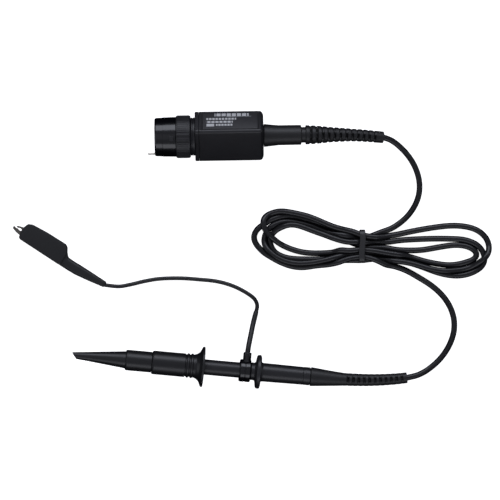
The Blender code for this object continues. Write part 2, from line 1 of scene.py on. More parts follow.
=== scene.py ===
import math
import bmesh
import bpy
import numpy as np
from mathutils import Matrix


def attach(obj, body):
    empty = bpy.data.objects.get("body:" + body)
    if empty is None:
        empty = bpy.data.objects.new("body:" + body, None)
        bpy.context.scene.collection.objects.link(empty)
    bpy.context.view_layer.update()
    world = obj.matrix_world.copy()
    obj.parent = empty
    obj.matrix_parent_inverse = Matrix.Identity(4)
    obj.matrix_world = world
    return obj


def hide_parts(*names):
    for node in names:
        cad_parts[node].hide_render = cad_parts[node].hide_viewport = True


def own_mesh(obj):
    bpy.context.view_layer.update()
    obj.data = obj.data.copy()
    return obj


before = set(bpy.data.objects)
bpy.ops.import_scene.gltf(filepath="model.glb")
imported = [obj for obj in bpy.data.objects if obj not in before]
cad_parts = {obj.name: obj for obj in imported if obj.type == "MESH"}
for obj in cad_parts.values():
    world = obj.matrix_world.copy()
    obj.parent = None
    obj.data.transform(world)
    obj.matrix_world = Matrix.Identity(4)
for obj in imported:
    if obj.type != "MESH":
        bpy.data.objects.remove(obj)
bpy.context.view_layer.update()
mm = 0.001  # the sizes below are in millimetres and the scene is in metres


def turnMatrix(x=0.0, y=0.0, z=0.0):
    # degrees about the fixed X, then Y, then Z axis
    cx, cy, cz = (math.cos(math.radians(v)) for v in (x, y, z))
    sx, sy, sz = (math.sin(math.radians(v)) for v in (x, y, z))
    aboutX = np.array([[1, 0, 0], [0, cx, -sx], [0, sx, cx]])
    aboutY = np.array([[cy, 0, sy], [0, 1, 0], [-sy, 0, cy]])
    aboutZ = np.array([[cz, -sz, 0], [sz, cz, 0], [0, 0, 1]])
    return aboutZ @ aboutY @ aboutX


def axisFrame(origin, turn):
    return np.array(origin, float), turn


def within(base, place, turn=None):
    # a frame inside another frame
    origin, matrix = base
    return origin + matrix @ np.array(place, float), matrix @ (np.eye(3) if turn is None else turn)


def toWorld(points, base):
    # local millimetres to metres in the shared frame
    origin, matrix = base
    return (np.asarray(points, float) @ matrix.T + origin) * mm


worldFrame = axisFrame((0, 0, 0), np.eye(3))


def smoothPath(knots, fineness=12):
    # Catmull-Rom: each span is 0.5 * (2b + (c-a)t + (2a-5b+4c-d)t^2 + (3b-a-3c+d)t^3)
    k = np.array(knots, float)
    k = np.vstack([2 * k[0] - k[1], k, 2 * k[-1] - k[-2]])
    t = (np.arange(fineness) / fineness)[:, None]
    spans = []
    for a, b, c, d in zip(k, k[1:], k[2:], k[3:]):
        spans.append(0.5 * (2 * b + (c - a) * t + (2 * a - 5 * b + 4 * c - d) * t**2
                            + (3 * b - a - 3 * c + d) * t**3))
    return np.vstack(spans + [k[-2:-1]])


def evenly(path, step):
    # the same path with its points an even step apart
    gaps = np.linalg.norm(np.diff(path, axis=0), axis=1)
    along = np.concatenate([[0], np.cumsum(gaps)])
    count = max(2, int(round(along[-1] / step)) + 1)
    wanted = np.linspace(0, along[-1], count)
    return np.stack([np.interp(wanted, along, path[:, i]) for i in range(3)], axis=1)


def lengthOf(path):
    return float(np.linalg.norm(np.diff(path, axis=0), axis=1).sum())


view = {"centre": (0.02425, 0.00055), "distance": 2.4, "frameWidth": 0.3, "focusHeight": 0.008}

camera = bpy.data.cameras.new("topCamera")
camera.sensor_width = 36
camera.lens = 36 * view["distance"] / view["frameWidth"]
camera.clip_end = 20
cameraRig = bpy.data.objects.new("topCamera", camera)
# an unturned camera looks straight down, with +Y up the picture
cameraRig.location = (*view["centre"], view["focusHeight"] + view["distance"])
bpy.context.scene.collection.objects.link(cameraRig)
bpy.context.scene.camera = cameraRig

bpy.context.scene.view_settings.view_transform = "Standard"

# skyRise: the heights, as the Z of a direction, between which the sky goes from dark to its full strength
studio = {"floorSize": 3.0, "floorLevel": -0.0002, "floorGlow": 0.96, "sky": 0.27, "skyRise": (-0.15, 0.95)}

floorMesh = bpy.data.meshes.new("paleFloor")
half, level = studio["floorSize"] / 2, studio["floorLevel"]
floorMesh.from_pydata([(-half, -half, level), (half, -half, level), (half, half, level), (-half, half, level)], [],
                      [(0, 1, 2, 3)])
floor = bpy.data.objects.new("paleFloor", floorMesh)
bpy.context.scene.collection.objects.link(floor)
floor.visible_diffuse = floor.visible_glossy = False


def softLight(name, place, aim, size, power, colour=(1, 1, 1)):
    lamp = bpy.data.lights.new(name, "AREA")
    lamp.shape = "RECTANGLE"
    lamp.size, lamp.size_y = size
    lamp.energy = power
    lamp.color = colour
    rig = bpy.data.objects.new(name, lamp)
    rig.location = place
    back = np.array(place, float) - np.array(aim, float)
    back /= np.linalg.norm(back)
    yaw = math.atan2(back[1], back[0]) + math.pi / 2
    rig.rotation_euler = (math.acos(back[2]), 0, yaw)
    bpy.context.scene.collection.objects.link(rig)


softLight("keyBehind", (0.0, 1.15, 0.75), (0.02, 0, 0), (1.8, 0.8), 11.0, (0.86, 0.89, 1.0))
softLight("fillFront", (0.0, -1.2, 0.8), (0.02, 0, 0), (1.6, 0.7), 4.6, (0.9, 0.92, 1.0))
softLight("sideLeft", (-1.2, -0.15, 0.32), (0, 0, 0), (1.0, 0.45), 1.3, (0.9, 0.93, 1.0))
softLight("sideRight", (1.25, 0.15, 0.32), (0.02, 0, 0), (1.0, 0.45), 1.0, (0.9, 0.93, 1.0))
softLight("topCard", (-0.3, 0.1, 1.5), (0, 0, 0), (0.8, 0.8), 0.25, (0.95, 0.96, 1.0))

sky = bpy.data.worlds.new("studioSky")
sky.use_nodes = True
skyTree = sky.node_tree
skyTree.nodes["Background"].inputs["Color"].default_value = (0.86, 0.88, 1.0, 1)
direction = skyTree.nodes.new("ShaderNodeTexCoord")
height = skyTree.nodes.new("ShaderNodeSeparateXYZ")
rise = skyTree.nodes.new("ShaderNodeMapRange")
rise.interpolation_type = "SMOOTHSTEP"
rise.inputs["From Min"].default_value, rise.inputs["From Max"].default_value = studio["skyRise"]
rise.inputs["To Min"].default_value, rise.inputs["To Max"].default_value = 0.0, studio["sky"]
skyTree.links.new(direction.outputs["Generated"], height.inputs[0])
skyTree.links.new(height.outputs["Z"], rise.inputs["Value"])
skyTree.links.new(rise.outputs["Result"], skyTree.nodes["Background"].inputs["Strength"])
bpy.context.scene.world = sky
print("stage: camera, floor and light")


def newGroup(name, inputs, outputs):
    group = bpy.data.node_groups.new(name, "ShaderNodeTree")
    for label, kind, value in inputs:
        made = group.interface.new_socket(label, in_out="INPUT", socket_type=kind)
        if value is not None:
            made.default_value = value
    for label, kind in outputs:
        group.interface.new_socket(label, in_out="OUTPUT", socket_type=kind)
    enter = group.nodes.new("NodeGroupInput")
    leave = group.nodes.new("NodeGroupOutput")
    return group, enter, leave


def node(tree, kind, settings=(), values=(), links=()):
    # settings: attributes, values: socket name to constant, links: socket name to an output socket
    made = tree.nodes.new(kind)
    for name, value in dict(settings).items():
        setattr(made, name, value)
    for name, value in dict(values).items():
        made.inputs[name].default_value = value
    for name, source in dict(links).items():
        tree.links.new(source, made.inputs[name])
    return made


def mouldedGroup():
    # fine moulding grain, faint handling smudges and slow colour drift, from object coordinates in metres
    group, enter, leave = newGroup(
        "mouldedSurface",
        [("Place", "NodeSocketVector", None), ("Colour", "NodeSocketColor", (0.02, 0.02, 0.02, 1)),
         ("Roughness", "NodeSocketFloat", 0.4), ("Grain Scale", "NodeSocketFloat", 1800.0),
         ("Grain Height", "NodeSocketFloat", 0.15), ("Smudge", "NodeSocketFloat", 0.08)],
        [("Colour", "NodeSocketColor"), ("Roughness", "NodeSocketFloat"), ("Normal", "NodeSocketVector")])
    grain = node(group, "ShaderNodeTexNoise", values={"Detail": 4.0, "Roughness": 0.55},
                 links={"Vector": enter.outputs["Place"], "Scale": enter.outputs["Grain Scale"]})
    slow = node(group, "ShaderNodeTexNoise", links={"Vector": enter.outputs["Place"]},
                values={"Scale": 62.0, "Detail": 5.0, "Roughness": 0.6, "Distortion": 0.4})
    centred = node(group, "ShaderNodeMath", {"operation": "SUBTRACT"}, {1: 0.5}, {0: slow.outputs["Fac"]})
    drift = node(group, "ShaderNodeMath", {"operation": "MULTIPLY"},
                 links={0: centred.outputs[0], 1: enter.outputs["Smudge"]})
    rough = node(group, "ShaderNodeMath", {"operation": "ADD", "use_clamp": True},
                 links={0: enter.outputs["Roughness"], 1: drift.outputs[0]})
    group.links.new(rough.outputs[0], leave.inputs["Roughness"])
    brighter = node(group, "ShaderNodeMath", {"operation": "MULTIPLY_ADD"}, {1: 2.0, 2: 1.0},
                    {0: drift.outputs[0]})
    tinted = node(group, "ShaderNodeVectorMath", {"operation": "SCALE"},
                  links={0: enter.outputs["Colour"], "Scale": brighter.outputs[0]})
    group.links.new(tinted.outputs[0], leave.inputs["Colour"])
    bump = node(group, "ShaderNodeBump", values={"Distance": 0.00003},
                links={"Height": grain.outputs["Fac"], "Strength": enter.outputs["Grain Height"]})
    group.links.new(bump.outputs["Normal"], leave.inputs["Normal"])
    return group


moulded = mouldedGroup()


def newMaterial(name):
    made = bpy.data.materials.new(name)
    made.use_nodes = True
    tree = made.node_tree
    shader = tree.nodes["Principled BSDF"]
    place = tree.nodes.new("ShaderNodeTexCoord")
    return made, tree, shader, place.outputs["Object"]


def wornMaterial(name, colour, roughness, grainScale, grainHeight, smudge):
    made, tree, shader, place = newMaterial(name)
    surface = node(tree, "ShaderNodeGroup", {"node_tree": moulded},
                   {"Colour": (*colour, 1), "Roughness": roughness, "Grain Scale": grainScale,
                    "Grain Height": grainHeight, "Smudge": smudge}, {"Place": place})
    tree.links.new(surface.outputs["Colour"], shader.inputs["Base Color"])
    tree.links.new(surface.outputs["Roughness"], shader.inputs["Roughness"])
    tree.links.new(surface.outputs["Normal"], shader.inputs["Normal"])
    return made, shader


def mouldedMaterial(name, colour, roughness, grainScale, grainHeight, smudge, coat=0.0, sheen=0.0):
    made, shader = wornMaterial(name, colour, roughness, grainScale, grainHeight, smudge)
    shader.inputs["Specular IOR Level"].default_value = 0.5
    shader.inputs["Coat Weight"].default_value = coat
    shader.inputs["Coat Roughness"].default_value = 0.12
    shader.inputs["Sheen Weight"].default_value = sheen
    return made


def metalMaterial(name, colour, roughness, brushScale, brush, tarnish):
    made, shader = wornMaterial(name, colour, roughness, brushScale, brush, tarnish)
    shader.inputs["Metallic"].default_value = 1.0
    return made


# each: colour, roughness, grain scale, grain height, smudge or tarnish
finishes = {
    "satinBlack": mouldedMaterial("satinBlack", (0.0165, 0.0165, 0.019), 0.36, 2600.0, 0.22, 0.10),
    "glossBlack": mouldedMaterial("glossBlack", (0.003, 0.003, 0.0045), 0.2, 900.0, 0.03, 0.10, coat=0.35),
    "hookBlack": mouldedMaterial("hookBlack", (0.011, 0.011, 0.0125), 0.36, 2400.0, 0.16, 0.10),
    "softVinyl": mouldedMaterial("softVinyl", (0.011, 0.011, 0.012), 0.46, 1600.0, 0.28, 0.12, sheen=0.02),
    "cableVinyl": mouldedMaterial("cableVinyl", (0.008, 0.008, 0.0095), 0.29, 1200.0, 0.14, 0.16),
    "tieVinyl": mouldedMaterial("tieVinyl", (0.03, 0.03, 0.031), 0.34, 1500.0, 0.18, 0.12),
    "brightNickel": metalMaterial("brightNickel", (0.66, 0.62, 0.55), 0.2, 700.0, 0.06, 0.14),
    "dullNickel": metalMaterial("dullNickel", (0.2, 0.19, 0.165), 0.26, 700.0, 0.06, 0.14),
    "paleContact": metalMaterial("paleContact", (0.74, 0.7, 0.62), 0.24, 700.0, 0.05, 0.1),
    "goldContact": metalMaterial("goldContact", (0.84, 0.62, 0.27), 0.2, 700.0, 0.05, 0.1),
    "springSteel": metalMaterial("springSteel", (0.55, 0.55, 0.56), 0.28, 1500.0, 0.1, 0.1),
    "whiteInsulator": mouldedMaterial("whiteInsulator", (0.82, 0.8, 0.76), 0.5, 1500.0, 0.1, 0.05),
    "greenBoard": mouldedMaterial("greenBoard", (0.02, 0.12, 0.05), 0.4, 2000.0, 0.1, 0.1),
    "tanCeramic": mouldedMaterial("tanCeramic", (0.62, 0.54, 0.42), 0.5, 2400.0, 0.2, 0.08),
    "darkRubber": mouldedMaterial("darkRubber", (0.02, 0.02, 0.02), 0.65, 1800.0, 0.3, 0.1),
}

floorPaint, _, floorShader, _ = newMaterial("paleFloor")
floorShader.inputs["Base Color"].default_value = (0.9, 0.9, 0.9, 1)
floorShader.inputs["Roughness"].default_value = 0.8
floorShader.inputs["Emission Color"].default_value = (1, 1, 1, 1)
floorShader.inputs["Emission Strength"].default_value = studio["floorGlow"]
floorMesh.materials.append(floorPaint)
print("stage: materials")


def add(obj, body, nodes, finish):
    bpy.context.scene.collection.objects.link(obj)
    if finish:
        obj.data.materials.append(finishes[finish])
    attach(obj, body)
    if nodes:
        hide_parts(*nodes)
    return obj


def cordCurve(name, path, radius, body, nodes, finish, resolution=5):
    # a poly curve through close points, its bevel the round outside of the cable
    data = bpy.data.curves.new(name, "CURVE")
    data.dimensions = "3D"
    data.bevel_depth = radius * mm
    data.bevel_resolution = resolution
    data.use_fill_caps = True
    line = data.splines.new("POLY")
    line.points.add(len(path) - 1)
    places = np.hstack([path * mm, np.ones((len(path), 1))])  # the fourth column is each point's weight
    line.points.foreach_set("co", places.astype(np.float32).ravel())
    line.use_smooth = True
    return add(bpy.data.objects.new(name, data), body, nodes, finish)


# clearance: least distance between strands; floor: lowest centre line; hold: pull to the drawn path, seen from above;
# sink: fall in each round; skip and ends: neighbours never pushed apart, and points held still at each end
cable = {"radius": 1.8, "step": 2.0, "rounds": 320, "clearance": 3.66, "floor": 1.82, "hold": 0.05,
         "stiffness": 1.1, "slack": 0.05, "sink": 0.02, "skip": 5, "ends": 8}

fromHead = [
    (116.4, -76.47, 3.88), (118.65, -76.2, 3.65), (125.85, -74.35, 2.7), (132.85, -70.25, 2.0),
    (139.65, -63.75, 1.85), (144.75, -55.45, 1.85), (147.15, -46.85, 1.85), (146.25, -37.85, 1.85),
    (141.85, -29.05, 1.85), (134.25, -21.45, 1.85), (124.65, -15.35, 1.85), (117.85, -11.55, 2.2),
    (112.25, -9.6, 3.0), (107.6, -7.6, 4.2), (99.8, -5.3, 5.8),
]
toBox = [
    (99.8, 9.7, 3), (107.0, 12.2, 2.6), (112.05, 15.15, 2.2), (118.65, 20.45, 2.0), (123.85, 28.05, 1.85),
    (126.15, 35.55, 1.85), (125.85, 43.55, 1.85), (123.05, 51.55, 1.85), (118.75, 58.15, 1.85),
    (114.25, 62.75, 2.3), (109.45, 66.3, 3.4), (104.15, 68.2, 4.7), (99.5, 68.65, 6.05),
]
# every turn of the hank in the order the cable runs: a loop on the left, then one on the right
leftOuter = [(78.2, -5.8, 4.5), (63.2, -8.9, 2.2), (54.2, -9.6, 1.8), (45.9, -7.9, 1.8), (37.4, -3.5, 1.8),
             (29.6, 2.0, 1.8), (26.3, 7.4, 1.8), (27.8, 12.2, 1.8), (32.0, 15.8, 1.8), (37.4, 18.6, 1.8),
             (44.6, 20.4, 1.8), (54.2, 19.1, 1.8), (66.2, 15.6, 2), (79.5, 10.2, 2.6)]
rightInner = [(102.2, 2.3, 3), (111.8, 0.6, 2), (126.2, 0.4, 1.8), (137.0, 2.1, 1.8), (147.8, 3.7, 1.8),
              (154.4, 3.5, 1.8), (159.5, 1.1, 1.8), (161.2, -2.5, 1.8), (158.0, -6.0, 1.8), (150.8, -8.3, 1.8),
              (141.2, -8.4, 1.8), (130.4, -6.5, 2.5), (119.6, -4.0, 4.5), (107.0, -1.4, 6)]
leftTop = [(81.2, -1.0, 6.2), (70.5, -1.4, 5), (57.8, -1.1, 4.5), (48.2, 1.4, 5.6), (40.1, 5.6, 7),
           (34.4, 11.1, 7), (32.0, 16.1, 6.6), (33.2, 20.4, 6), (36.9, 22.6, 5.4), (42.2, 23.2, 5.4),
           (50.0, 22.6, 5.4), (60.2, 20.2, 5.8), (72.2, 15.3, 6.4), (82.5, 11.5, 6.8)]
rightTop = [(101.0, 8.5, 6.8), (110.6, 9.4, 6.6), (122.6, 12.0, 5.6), (137.7, 14.5, 3.4), (148.4, 15.2, 2.4),
            (158.7, 13.5, 3), (165.2, 9.2, 4.6), (168.1, 3.2, 6), (166.3, -3.3, 6.4), (160.4, -8.2, 6),
            (152.0, -11.2, 5.6), (142.4, -12.5, 5.6), (132.2, -10.7, 5.4), (121.4, -7.5, 4.8), (110.6, -5.5, 3.4),
            (101.0, -3.9, 3)]
leftInner = [(78.2, -4.5, 3), (65.0, -5.3, 2.2), (54.2, -5.2, 1.8), (47.0, -4.5, 1.8), (40.4, -2.3, 1.8),
             (36.5, 1.4, 1.8), (35.6, 6.5, 1.8), (37.4, 11.1, 2.2), (41.6, 14.5, 3), (49.4, 16.3, 4),
             (59.0, 13.6, 5), (69.2, 9.9, 5.6), (81.2, 6.8, 6.4)]
rightLow = [(102.2, 5.2, 6.4), (114.2, 6.4, 5.4), (126.2, 7.1, 4), (138.2, 7.4, 2.4), (148.4, 7.0, 1.9),
            (156.2, 5.2, 1.9), (162.2, 2.0, 1.9), (165.6, -2.5, 1.9), (164.9, -7.2, 1.9), (161.0, -11.2, 1.9),
            (154.4, -13.6, 1.9), (146.7, -14.3, 1.9), (138.2, -13.2, 1.9), (129.2, -10.1, 2), (119.0, -6.3, 2.4),
            (107.0, -2.7, 3)]
leftMiddle = [(81.2, -3.0, 4), (67.5, -5.8, 4.6), (54.2, -7.6, 4.6), (45.9, -6.4, 4), (39.2, -3.0, 3.4),
              (34.8, 1.4, 2.4), (33.4, 6.5, 2), (35.0, 12.0, 2), (39.9, 16.4, 2), (48.2, 19.0, 2.6),
              (57.8, 17.0, 3), (69.2, 12.8, 3), (81.2, 9.2, 3)]
# the eight strands lie in two layers under the tie
tieCrossings = [(91.5, -3.6, 6.5), (91.5, 2.9, 2.8), (91.5, 0.7, 6.5), (91.5, 9.3, 6.5), (91.5, -5.6, 2.8),
                (91.5, 5.0, 6.5), (91.5, -1.4, 2.8), (91.5, 7.2, 2.8)]
turns = [leftOuter, rightInner, leftTop, rightTop, leftInner, rightLow, leftMiddle]


def hankPath():
    knots = list(fromHead)
    for crossing, turn in zip(tieCrossings, turns):
        knots += [crossing] + turn
    knots += [tieCrossings[-1]] + toBox
    return evenly(smoothPath(knots), cable["step"])


def settle(path, pinned):
    # strands push apart until none overlaps, bends stay smooth, and gravity draws the cable to the floor
    target = path.copy()
    count = len(path)
    first, second = np.triu_indices(count, cable["skip"])
    for _ in range(cable["rounds"]):
        gap = path[second] - path[first]
        distance = np.linalg.norm(gap, axis=1)
        near = distance < cable["clearance"]
        share = 0.5 * (cable["clearance"] - distance[near]) / np.maximum(distance[near], 0.05)
        push = gap[near] * share[:, None]
        move = np.zeros_like(path)
        touches = np.zeros(count)
        np.add.at(move, first[near], -push)
        np.add.at(move, second[near], push)
        np.add.at(touches, first[near], 1)
        np.add.at(touches, second[near], 1)
        path = path + move / np.maximum(touches, 1)[:, None]
        middle = (path[:-2] + path[2:]) / 2
        path[1:-1] += cable["slack"] * (middle - path[1:-1])
        bend = path[:-4] - 4 * path[1:-3] + 6 * path[2:-2] - 4 * path[3:-1] + path[4:]
        # this straightens a kink but leaves a wide loop as it is
        path[2:-2] -= cable["stiffness"] / 16 * bend
        path[:, :2] += cable["hold"] * (target[:, :2] - path[:, :2])
        path[:, 2] -= cable["sink"]
        path[:, 2] = np.maximum(path[:, 2], cable["floor"])
        path[pinned] = target[pinned]
    return path


mainPath = hankPath()
pinned = np.zeros(len(mainPath), bool)
pinned[:cable["ends"]] = pinned[-cable["ends"]:] = True
mainPath = smoothPath(settle(mainPath, pinned), 3)
mainCable = cordCurve("main_cable", mainPath, cable["radius"], "probe", ["cable_upper", "cable_hank", "cable_lower"],
                      "cableVinyl")
print("stage: main cable", round(lengthOf(mainPath)), "mm")

wire = {"radius": 1.2}
wireKnots = [
    (27.5, -38.3, 2.2), (28.05, -36.15, 1.8), (28.55, -32.65, 1.3), (26.85, -28.85, 1.22), (21.85, -25.05, 1.22),
    (13.85, -21.05, 1.22), (4.25, -18.35, 1.22), (-6.95, -17.15, 1.22), (-17.75, -16.45, 1.22),
    (-29.75, -16.75, 1.22), (-38.75, -18.15, 1.4), (-47.25, -20.15, 2.4), (-54.35, -21.35, 3.7),
    (-61.15, -20.75, 4.5), (-64.2, -20.2, 4.5),
]
wirePath = smoothPath(wireKnots, 16)
leadWire = cordCurve("ground_wire", wirePath, wire["radius"], "ground_lead", ["lead_wire"],
                     "cableVinyl")
print("stage: lead wire", round(lengthOf(wirePath)), "mm")

def rounded(corners, steps=5):
    # corners are (u, v, radius): each corner of a closed outline becomes an arc tangent to both its sides
    c = [np.array(p[:2], float) for p in corners]
    out = []
    for i, corner in enumerate(corners):
        radius = corner[2] if len(corner) > 2 else 0
        before, here, after = c[i - 1], c[i], c[(i + 1) % len(c)]
        a, b = before - here, after - here
        la, lb = np.linalg.norm(a), np.linalg.norm(b)
        a, b = a / la, b / lb
        cosine = float(np.clip(a @ b, -1, 1))
        half = math.acos(cosine) / 2
        if radius <= 0 or half > math.pi / 2 - 0.02 or half < 0.02:
            out.append(here)
            continue
        reach = min(radius / math.tan(half), 0.48 * la, 0.48 * lb)
        radius = reach * math.tan(half)
        centre = here + (a + b) / np.linalg.norm(a + b) * (radius / math.sin(half))
        start, stop = here + a * reach - centre, here + b * reach - centre
        first = math.atan2(start[1], start[0])
        sweep = (math.atan2(stop[1], stop[0]) - first + math.pi) % (2 * math.pi) - math.pi
        for k in range(steps + 1):
            angle = first + sweep * k / steps
            out.append(centre + radius * np.array([math.cos(angle), math.sin(angle)]))
    return np.array(out)


def gridFaces(rows, columns, closeRows):
    # quads between neighbouring rows of a grid whose columns run round
    i, j = np.meshgrid(np.arange(rows if closeRows else rows - 1), np.arange(columns), indexing="ij")
    up, side = (i + 1) % rows, (j + 1) % columns
    return np.stack([i * columns + j, i * columns + side, up * columns + side, up * columns + j], -1).reshape(-1, 4)


def meshPiece(name, points, faces, base, body, nodes, slot, finish, sharp=38, link=True):
    mesh = bpy.data.meshes.new(name)
    mesh.from_pydata(toWorld(points, base).tolist(), [], [list(map(int, f)) for f in faces])
    tidy = bmesh.new()
    tidy.from_mesh(mesh)
    bmesh.ops.remove_doubles(tidy, verts=tidy.verts, dist=1e-8)
    bmesh.ops.recalc_face_normals(tidy, faces=tidy.faces)
    tidy.to_mesh(mesh)
    tidy.free()
    made = bpy.data.objects.new(name, mesh)
    smooth(mesh, sharp)
    return add(made, body, nodes, finish) if link else made


def smooth(mesh, sharp):
    mesh.shade_smooth()
    mesh.set_sharp_from_angle(angle=math.radians(sharp))


def spun(name, outline, base, body, nodes, slot, finish, segments=96, sharp=38, link=True):
    # a closed outline of (distance along X, radius), turned round the X axis
    turn = 2 * math.pi * np.arange(segments) / segments
    x = np.repeat(outline[:, :1], segments, axis=1)
    points = np.stack([x, outline[:, 1:] * np.cos(turn), outline[:, 1:] * np.sin(turn)], -1).reshape(-1, 3)
    faces = gridFaces(len(outline), segments, True)
    return meshPiece(name, points, faces, base, body, nodes, slot, finish, sharp, link)


def lofted(name, rings, base, body, nodes, slot, finish, sharp=38, link=True):
    # rings of as many points each, joined in turn, with flat ends
    rings = np.array(rings, float)
    rows, columns = rings.shape[:2]
    last = (rows - 1) * columns
    faces = [*gridFaces(rows, columns, False), list(range(columns)), list(range(last, last + columns))]
    return meshPiece(name, rings.reshape(-1, 3), faces, base, body, nodes, slot, finish, sharp, link)


def outward(outline):
    # unit normals of a closed outline, from the average of each point's two sides
    ahead = np.roll(outline, -1, axis=0) - outline
    ahead /= np.maximum(np.linalg.norm(ahead, axis=1), 1e-9)[:, None]
    both = ahead + np.roll(ahead, 1, axis=0)
    both /= np.maximum(np.linalg.norm(both, axis=1), 1e-9)[:, None]
    normals = np.stack([both[:, 1], -both[:, 0]], 1)
    u, v = outline.T
    turning = np.sum(u * np.roll(v, -1) - v * np.roll(u, -1))
    return normals * (1 if turning > 0 else -1)


def slab(name, outline, low, high, edge, base, body, nodes, slot, finish, axes=(0, 1, 2), steps=4, **more):
    # an outline drawn out along its third axis, its two rims rounded by edge
    normals = outward(outline)
    quarter = [math.pi / 2 * k / steps for k in range(steps + 1)]
    stations = [(low + edge * (1 - math.cos(a)), edge * (1 - math.sin(a))) for a in quarter]
    stations += [(high - edge * (1 - math.cos(a)), edge * (1 - math.sin(a))) for a in reversed(quarter)]
    loops = []
    for level, inset in stations:
        flat = outline - normals * inset
        loop = np.zeros((len(outline), 3))
        loop[:, axes[0]], loop[:, axes[1]], loop[:, axes[2]] = flat[:, 0], flat[:, 1], level
        loops.append(loop)
    return lofted(name, loops, base, body, nodes, slot, finish, **more)


def carve(target, cutters, operation="DIFFERENCE", sharp=38, bevel=0.0):
    # cuts the helpers from the target, bakes the result into its mesh and removes the helpers
    for cutter in cutters:
        bpy.context.scene.collection.objects.link(cutter)
        step = target.modifiers.new(cutter.name, "BOOLEAN")
        step.operation, step.solver, step.object = operation, "EXACT", cutter
    if bevel:
        step = target.modifiers.new("edges", "BEVEL")
        step.width, step.segments = bevel * mm, 2
        step.limit_method, step.angle_limit = "ANGLE", math.radians(40)
    bpy.context.view_layer.update()
    baked = bpy.data.meshes.new_from_object(target.evaluated_get(bpy.context.evaluated_depsgraph_get()))
    target.modifiers.clear()
    old, target.data = target.data, baked
    baked.name = target.name
    bpy.data.meshes.remove(old)
    for cutter in cutters:
        bpy.data.objects.remove(cutter, do_unlink=True)
    smooth(baked, sharp)
    return target


def blockHelper(low, high, base, name="cutter"):
    corners = [(x, y, z) for x in (low[0], high[0]) for y in (low[1], high[1]) for z in (low[2], high[2])]
    faces = [(0, 1, 3, 2), (4, 6, 7, 5), (0, 4, 5, 1), (2, 3, 7, 6), (0, 2, 6, 4), (1, 5, 7, 3)]
    return meshPiece(name, corners, faces, base, None, None, None, None, link=False)


def rodHelper(start, end, radius, base):
    outline = np.array([(start, 0), (start, radius), (end, radius), (end, 0)], float)
    return spun("cutter", outline, base, None, None, None, None, 32, link=False)


def sweptGrid(path, radii, sides):
    # rings round a path: radii has one row per point of the path and one column per side
    ahead = np.gradient(path, axis=0)
    ahead /= np.linalg.norm(ahead, axis=1)[:, None]
    across = np.cross(ahead, (0, 0, 1))
    across /= np.linalg.norm(across, axis=1)[:, None]
    upward = np.cross(across, ahead)
    turn = 2 * math.pi * np.arange(sides) / sides
    ring = across[:, None, :] * np.cos(turn)[None, :, None] + upward[:, None, :] * np.sin(turn)[None, :, None]
    return path[:, None, :] + ring * radii[:, :, None]


def ease(value):
    value = np.clip(value, 0, 1)
    return value * value * (3 - 2 * value)


connector = axisFrame((-32.75, 68.05, 14.85), turnMatrix(z=0.9))
collar = {"end": 12.72, "radius": 11.9, "bore": 7.8}

sleeve = spun("lock_sleeve", rounded([
    (0, collar["bore"], 0.25), (0, collar["radius"] - 1.0, 0.4), (0.8, collar["radius"] - 0.45, 0.5),
    (4.6, collar["radius"] - 0.3, 0.2), (4.9, collar["radius"] - 0.2, 0.2),
    (collar["end"], collar["radius"], 0.25), (collar["end"], collar["bore"], 0.2),
]), connector, "probe", ["collar_sleeve"], "gloss_plastic", "glossBlack", 128)
readoutAxis = within(connector, (0, -9.9, -0.9))
carve(sleeve, [rodHelper(-1, 13, 1.0, readoutAxis)])
slab("lock_mark", rounded([(8.9, -3.0, 0.3), (11.3, -3.0, 0.3), (11.3, 0, 0.3), (8.9, 0, 0.3)]),
     10.9, 12.45, 0.18, connector, "probe", [], "gloss_plastic", "satinBlack")

grip = {"start": 12.78, "end": 21.5, "radius": 12.8, "ribs": 60, "ribDepth": 0.28, "edge": 0.35}


def gripRing():
    # r = radius - depth where a rib's groove runs, the grooves fading out near both rims
    sides = grip["ribs"] * 10
    turn = 2 * math.pi * np.arange(sides) / sides
    wave = 0.5 - 0.5 * np.cos(grip["ribs"] * turn)
    groove = ease((wave - 0.35) / 0.4)
    start, end, radius = grip["start"], grip["end"], grip["radius"]
    stations = [(start + 1.2, 7.3, 0), (start, 7.3, 0), (start, radius - 0.7, 0), (start + 0.25, radius - 0.35, 0),
                (start + 0.5, radius - 0.28, 0), (start + 0.75, radius - 0.02, 1), (start + 1.0, radius, 1),
                (end - 1.0, radius, 1), (end - 0.75, radius - 0.02, 1), (end - 0.5, radius - 0.28, 0),
                (end - 0.25, radius - 0.38, 0), (end, radius - 0.75, 0), (end, 7.3, 0), (end - 1.2, 7.3, 0)]
    rings = []
    for along, reach, ribbed in stations:
        r = reach - ribbed * grip["ribDepth"] * groove
        rings.append(np.stack([np.full(sides, along), r * np.cos(turn), r * np.sin(turn)], 1))
    rings = np.array(rings)
    return rings.reshape(-1, 3), gridFaces(len(rings), sides, True)


meshPiece("grip_ring", *gripRing(), connector, "lock_collar", ["collar_grip_ring"], "black_plastic",
          "satinBlack", 30)
tab = rounded([(-3.0, 11.8, 0), (-3.0, 13.5, 0.5), (-1.7, 13.6, 0.1), (-1.45, 13.2, 0.1), (-0.15, 13.2, 0.1),
               (0.1, 13.6, 0.1), (1.4, 13.5, 0.5), (1.4, 11.8, 0)])
slab("grip_tab", tab, 12.95, 21.0, 0.3, connector, "lock_collar", [], "black_plastic", "satinBlack",
     axes=(1, 2, 0))
spun("connector_neck_ring", rounded([
    (21.55, 7.0, 0.1), (21.55, 11.1, 0.25), (22.2, 11.4, 0.2), (22.5, 11.4, 0.1), (22.6, 11.0, 0.1),
    (22.9, 11.0, 0.1), (23.0, 11.4, 0.1), (24.05, 11.4, 0.2), (24.05, 7.0, 0.1),
]), connector, "probe", ["connector_neck"], "black_plastic", "satinBlack", 112)
